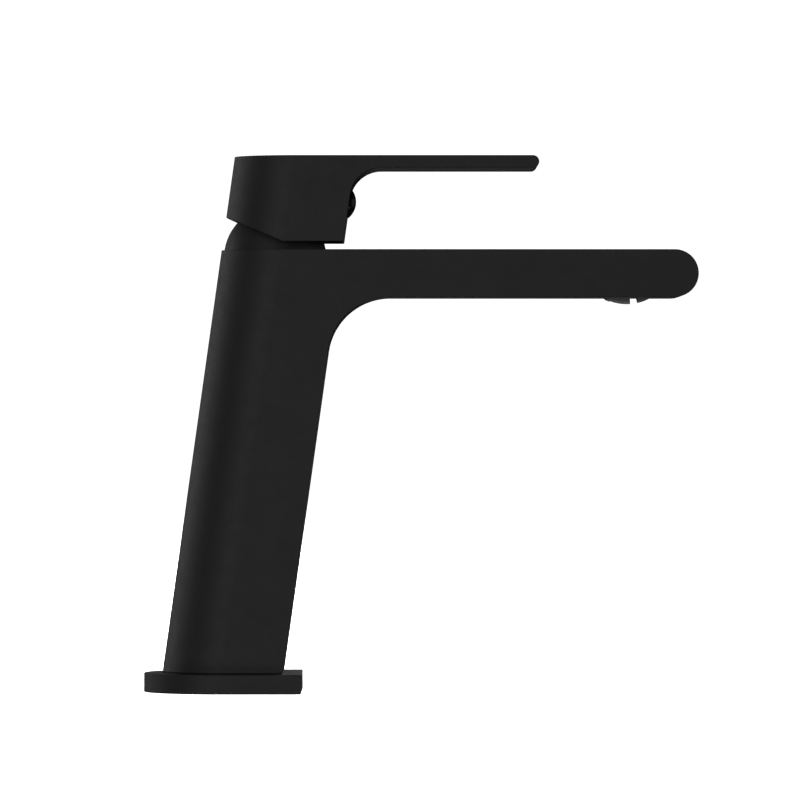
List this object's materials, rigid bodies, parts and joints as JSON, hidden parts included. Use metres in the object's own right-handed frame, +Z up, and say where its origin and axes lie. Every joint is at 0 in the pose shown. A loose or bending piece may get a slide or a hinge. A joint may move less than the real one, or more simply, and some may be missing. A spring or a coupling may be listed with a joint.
{
  "type": "basin mixer faucet",
  "caption": "Leaning single-lever bathroom basin mixer in matt black, with a flat square spout, tilting lever on a ball cover and a swivel aerator.",
  "frame": {"origin": "centre of the deck hole, on the deck surface that the foot flange stands on", "axes": "+X from the body towards the spout's tip, +Y to the left when the user stands behind the mixer and looks along +X, +Z up"},
  "size_m": [0.1712, 0.048, 0.1656],
  "materials": {
    "matt_black": "fine matt black powder coat on brass and zinc",
    "gloss_black_plastic": "polished black",
    "grey_plastic": "moulded dark grey acetal",
    "white_plastic": "moulded natural acetal",
    "brass": "machined",
    "steel": "stainless",
    "ceramic": "lapped alumina ceramic",
    "rubber": "nitrile rubber"
  },
  "bodies": {
    "mixer_body": {"body_casting": "matt_black", "base_flange": "matt_black", "deck_gasket": "rubber", "flange_o_ring": "rubber", "base_insert": "brass", "base_insert_screws": "steel", "hot_inlet_tube": "brass", "cold_inlet_tube": "brass", "inlet_tube_o_rings": "rubber", "cartridge_housing": "white_plastic", "housing_o_ring": "rubber", "cartridge_base": "white_plastic", "cartridge_base_seals": "rubber", "disc_seals": "rubber", "fixed_disc": "ceramic", "cartridge_nut": "brass", "dome_cover": "matt_black", "dome_o_ring": "rubber", "aerator_housing": "matt_black", "aerator_gasket": "rubber", "flow_regulator": "white_plastic", "aerator_screens": "steel", "nozzle_o_ring": "rubber", "nozzle_retaining_ring": "white_plastic"},
    "temperature_rotor": {"stem_rotor": "grey_plastic", "stem_pin": "steel"},
    "lever": {"handle": "matt_black", "lever_stem": "steel", "handle_set_screw": "steel", "indicator_plug": "gloss_black_plastic"},
    "mixing_disc": {"disc_carrier": "grey_plastic", "moving_disc": "ceramic"},
    "spray_nozzle": {"swivel_nozzle": "grey_plastic"}
  },
  "joints": [
    {"name": "temperature_swivel", "type": "hinge", "parent": "mixer_body", "child": "temperature_rotor", "pos_m": [0.0162, 0, 0.1345], "axis": [0.1392, 0, 0.9903], "range_deg": [-45, 45]},
    {"name": "lever_lift", "type": "hinge", "parent": "temperature_rotor", "child": "lever", "pos_m": [0.0162, 0, 0.1345], "axis": [0, -1, 0], "range_deg": [0, 25]},
    {"name": "disc_slide", "type": "slide", "parent": "temperature_rotor", "child": "mixing_disc", "axis": [0.9903, 0, -0.1392], "range_m": [0, 0.003]},
    {"name": "nozzle_tilt", "type": "hinge", "parent": "mixer_body", "child": "spray_nozzle", "pos_m": [0.1252, 0, 0.135], "axis": [0, 1, 0], "range_deg": [0, 16.4]}
  ],
  "couplings": [
    {"joint": "disc_slide", "follows": "lever_lift", "m_per_rad": 0.00678}
  ]
}
